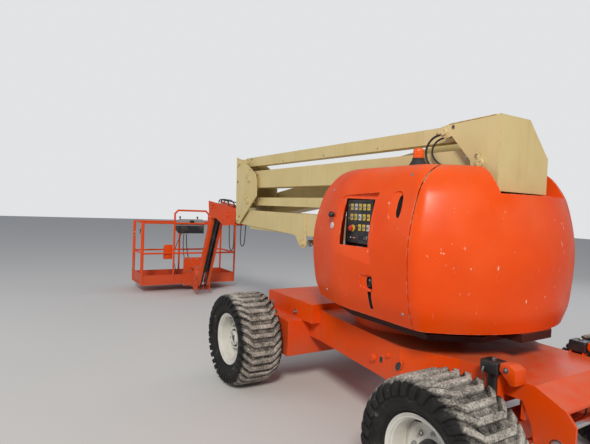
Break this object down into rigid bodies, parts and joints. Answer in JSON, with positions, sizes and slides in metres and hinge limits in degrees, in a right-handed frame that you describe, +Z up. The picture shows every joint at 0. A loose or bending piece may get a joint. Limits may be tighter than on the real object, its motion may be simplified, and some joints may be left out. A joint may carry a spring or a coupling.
{
  "type": "articulating boom lift",
  "caption": "Self-propelled articulating boom lift: round-tailed turntable on four lugged wheels, two-stage folding tower, telescopic main boom, jib and railed platform.",
  "frame": {"origin": "on the ground under the middle of the machine's overall length and width", "axes": "+X from the turntable towards the platform as stowed, +Y to the machine's left, +Z up"},
  "size_m": [8.0599, 2.3, 2.2893],
  "materials": {
    "beacon_amber": "gloss",
    "black_steel": "satin",
    "cast_grey": "matte",
    "console_grey": "matte",
    "cream_paint": "satin",
    "orange_paint": "satin",
    "panel_black": "matte",
    "rim_paint": "satin",
    "rod_chrome": "polished",
    "tyre_rubber": "matte"
  },
  "bodies": {
    "chassis": {"chassis_frame": "orange_paint", "drive_axle": "orange_paint", "steer_axle": "orange_paint", "steer_cylinder": "black_steel", "oscillation_cylinders": "black_steel", "slew_bearing": "cast_grey"},
    "tie_rod": {"tie_rod": "rod_chrome"},
    "knuckle_left": {"knuckle_left": "cast_grey"},
    "knuckle_right": {"knuckle_right": "cast_grey"},
    "wheel_drive_left": {"tyre_drive_left": "tyre_rubber", "rim_drive_left": "rim_paint"},
    "wheel_drive_right": {"tyre_drive_right": "tyre_rubber", "rim_drive_right": "rim_paint"},
    "wheel_steer_left": {"tyre_steer_left": "tyre_rubber", "rim_steer_left": "rim_paint"},
    "wheel_steer_right": {"tyre_steer_right": "tyre_rubber", "rim_steer_right": "rim_paint"},
    "turntable": {"turntable_frame": "orange_paint", "engine_block": "cast_grey", "hydraulic_tank": "black_steel", "tail_cover": "orange_paint", "ground_panel": "panel_black"},
    "cover_left": {"hood_left": "orange_paint", "beacon": "beacon_amber"},
    "cover_right": {"hood_right": "orange_paint"},
    "lower_boom": {"lower_boom": "cream_paint"},
    "lower_link": {"lower_link": "cream_paint"},
    "front_upright": {"front_upright": "cream_paint"},
    "mid_boom": {"mid_boom": "cream_paint"},
    "top_link": {"top_link": "cream_paint"},
    "rear_upright": {"rear_upright": "cream_paint"},
    "main_boom": {"main_boom": "cream_paint"},
    "fly_boom": {"fly_boom": "cream_paint"},
    "jib_bracket": {"jib_bracket": "orange_paint"},
    "jib_arm": {"jib_arm": "orange_paint"},
    "jib_link": {"jib_link": "orange_paint"},
    "platform_support": {"platform_support": "orange_paint"},
    "basket": {"basket": "orange_paint", "platform_mount": "orange_paint", "console": "console_grey"},
    "gate": {"gate": "orange_paint"},
    "tower_barrel": {"tower_cylinder_barrel": "black_steel"},
    "tower_rod": {"tower_cylinder_rod": "rod_chrome"},
    "main_barrel": {"main_cylinder_barrel": "black_steel"},
    "main_rod": {"main_cylinder_rod": "rod_chrome"},
    "jib_barrel": {"jib_cylinder_barrel": "black_steel"},
    "jib_rod": {"jib_cylinder_rod": "rod_chrome"}
  },
  "joints": [
    {"name": "spin_drive_left", "type": "hinge", "parent": "chassis", "child": "wheel_drive_left", "pos_m": [-1.29029, 0.955, 0.42], "axis": [0, 1, 0], "continuous": true},
    {"name": "spin_drive_right", "type": "hinge", "parent": "chassis", "child": "wheel_drive_right", "pos_m": [-1.29029, -0.955, 0.42], "axis": [0, 1, 0], "continuous": true},
    {"name": "spin_steer_left", "type": "hinge", "parent": "knuckle_left", "child": "wheel_steer_left", "pos_m": [-3.61029, 0.955, 0.42], "axis": [0, 1, 0], "continuous": true},
    {"name": "spin_steer_right", "type": "hinge", "parent": "knuckle_right", "child": "wheel_steer_right", "pos_m": [-3.61029, -0.955, 0.42], "axis": [0, 1, 0], "continuous": true},
    {"name": "steer_left", "type": "hinge", "parent": "chassis", "child": "knuckle_left", "pos_m": [-3.61029, 0.66, 0.42], "axis": [0, 0, 1], "range_deg": [-35, 35]},
    {"name": "steer_right", "type": "hinge", "parent": "chassis", "child": "knuckle_right", "pos_m": [-3.61029, -0.66, 0.42], "axis": [0, 0, 1], "range_deg": [-36, 36]},
    {"name": "tie_rod_slide", "type": "slide", "parent": "chassis", "child": "tie_rod", "axis": [0, 1, 0], "range_m": [-0.1, 0.1]},
    {"name": "swing", "type": "hinge", "parent": "chassis", "child": "turntable", "pos_m": [-2.45029, 0, 0.8], "axis": [0, 0, 1], "range_deg": [-177.5, 177.5]},
    {"name": "open_left", "type": "hinge", "parent": "turntable", "child": "cover_left", "pos_m": [-2.06529, 0.395, 1], "axis": [0, 0, -1], "range_deg": [0, 70]},
    {"name": "open_right", "type": "hinge", "parent": "turntable", "child": "cover_right", "pos_m": [-2.06529, -0.395, 1], "axis": [0, 0, 1], "range_deg": [0, 70]},
    {"name": "tower_lift", "type": "hinge", "parent": "turntable", "child": "lower_boom", "pos_m": [-2.90029, 0.12, 1.475], "axis": [0, -1, 0], "range_deg": [0, 60]},
    {"name": "lower_link_pivot", "type": "hinge", "parent": "turntable", "child": "lower_link", "pos_m": [-3.18029, 0.12, 1.71], "axis": [0, -1, 0], "range_deg": [-1, 61]},
    {"name": "elbow_level", "type": "hinge", "parent": "lower_boom", "child": "front_upright", "pos_m": [0.42971, 0.12, 1.475], "axis": [0, -1, 0], "range_deg": [-61, 1]},
    {"name": "mid_lift", "type": "hinge", "parent": "front_upright", "child": "mid_boom", "pos_m": [0.12971, 0.12, 1.985], "axis": [0, -1, 0], "range_deg": [-61, 1]},
    {"name": "top_link_pivot", "type": "hinge", "parent": "front_upright", "child": "top_link", "pos_m": [0.42971, 0.12, 2.22], "axis": [0, -1, 0], "range_deg": [-61, 1]},
    {"name": "rear_level", "type": "hinge", "parent": "mid_boom", "child": "rear_upright", "pos_m": [-3.25029, 0.12, 1.985], "axis": [0, -1, 0], "range_deg": [-1, 61]},
    {"name": "main_lift", "type": "hinge", "parent": "rear_upright", "child": "main_boom", "pos_m": [-3.15029, -0.152, 2.13], "axis": [0, -1, 0], "range_deg": [0, 83]},
    {"name": "fly_slide", "type": "slide", "parent": "main_boom", "child": "fly_boom", "axis": [0.9903, 0, -0.1392], "range_m": [0, 2.4]},
    {"name": "bracket_level", "type": "hinge", "parent": "fly_boom", "child": "jib_bracket", "pos_m": [1.45643, -0.152, 1.48257], "axis": [0, -1, 0], "range_deg": [-84, 1]},
    {"name": "jib_lift", "type": "hinge", "parent": "jib_bracket", "child": "jib_arm", "pos_m": [2.11144, -0.152, 1.60057], "axis": [0, -1, 0], "range_deg": [0, 130]},
    {"name": "jib_link_pivot", "type": "hinge", "parent": "jib_bracket", "child": "jib_link", "pos_m": [2.11144, -0.152, 1.49057], "axis": [0, -1, 0], "range_deg": [-1, 131]},
    {"name": "platform_level", "type": "hinge", "parent": "jib_arm", "child": "platform_support", "pos_m": [2.76529, -0.152, 0.21732], "axis": [0, -1, 0], "range_deg": [-131, 1]},
    {"name": "platform_rotate", "type": "hinge", "parent": "platform_support", "child": "basket", "pos_m": [3.02029, -0.152, 0.43], "axis": [0, 0, 1], "range_deg": [-90, 90]},
    {"name": "gate_swing", "type": "hinge", "parent": "basket", "child": "gate", "pos_m": [3.92829, 0.797, 0.71], "axis": [0, 0, 1], "range_deg": [0, 90]},
    {"name": "tower_cylinder_pivot", "type": "hinge", "parent": "turntable", "child": "tower_barrel", "pos_m": [-2.55029, 0.12, 1], "axis": [0, -1, 0], "range_deg": [-1, 59.62]},
    {"name": "tower_cylinder_stroke", "type": "slide", "parent": "tower_barrel", "child": "tower_rod", "axis": [0.9812, 0, 0.1932], "range_m": [-0.01, 0.5986]},
    {"name": "main_cylinder_pivot", "type": "hinge", "parent": "rear_upright", "child": "main_barrel", "pos_m": [-3.01829, -0.152, 1.855], "axis": [0, -1, 0], "range_deg": [-1, 81.09]},
    {"name": "main_cylinder_stroke", "type": "slide", "parent": "main_barrel", "child": "main_rod", "axis": [0.9965, 0, -0.083], "range_m": [-0.01, 0.4087]},
    {"name": "jib_cylinder_pivot", "type": "hinge", "parent": "jib_bracket", "child": "jib_barrel", "pos_m": [2.11144, -0.152, 1.49057], "axis": [0, -1, 0], "range_deg": [-1, 130.73]},
    {"name": "jib_cylinder_stroke", "type": "slide", "parent": "jib_barrel", "child": "jib_rod", "axis": [0.4568, 0, -0.8896], "range_m": [-0.01, 0.2093]}
  ],
  "couplings": [
    {"joint": "steer_right", "follows": "steer_left", "ratio": 1},
    {"joint": "tie_rod_slide", "follows": "steer_left", "m_per_rad": -0.15023},
    {"joint": "lower_link_pivot", "follows": "tower_lift", "ratio": 1},
    {"joint": "elbow_level", "follows": "tower_lift", "ratio": -1},
    {"joint": "mid_lift", "follows": "tower_lift", "ratio": -1},
    {"joint": "top_link_pivot", "follows": "tower_lift", "ratio": -1},
    {"joint": "rear_level", "follows": "tower_lift", "ratio": 1},
    {"joint": "bracket_level", "follows": "main_lift", "ratio": -1},
    {"joint": "jib_link_pivot", "follows": "jib_lift", "ratio": 1},
    {"joint": "platform_level", "follows": "jib_lift", "ratio": -1},
    {"joint": "tower_cylinder_pivot", "follows": "tower_lift", "ratio": 0.97708},
    {"joint": "tower_cylinder_stroke", "follows": "tower_lift", "m_per_rad": 0.56205},
    {"joint": "main_cylinder_pivot", "follows": "main_lift", "ratio": 0.96492},
    {"joint": "main_cylinder_stroke", "follows": "main_lift", "m_per_rad": 0.27521},
    {"joint": "jib_cylinder_pivot", "follows": "jib_lift", "ratio": 0.99795},
    {"joint": "jib_cylinder_stroke", "follows": "jib_lift", "m_per_rad": 0.087822}
  ]
}
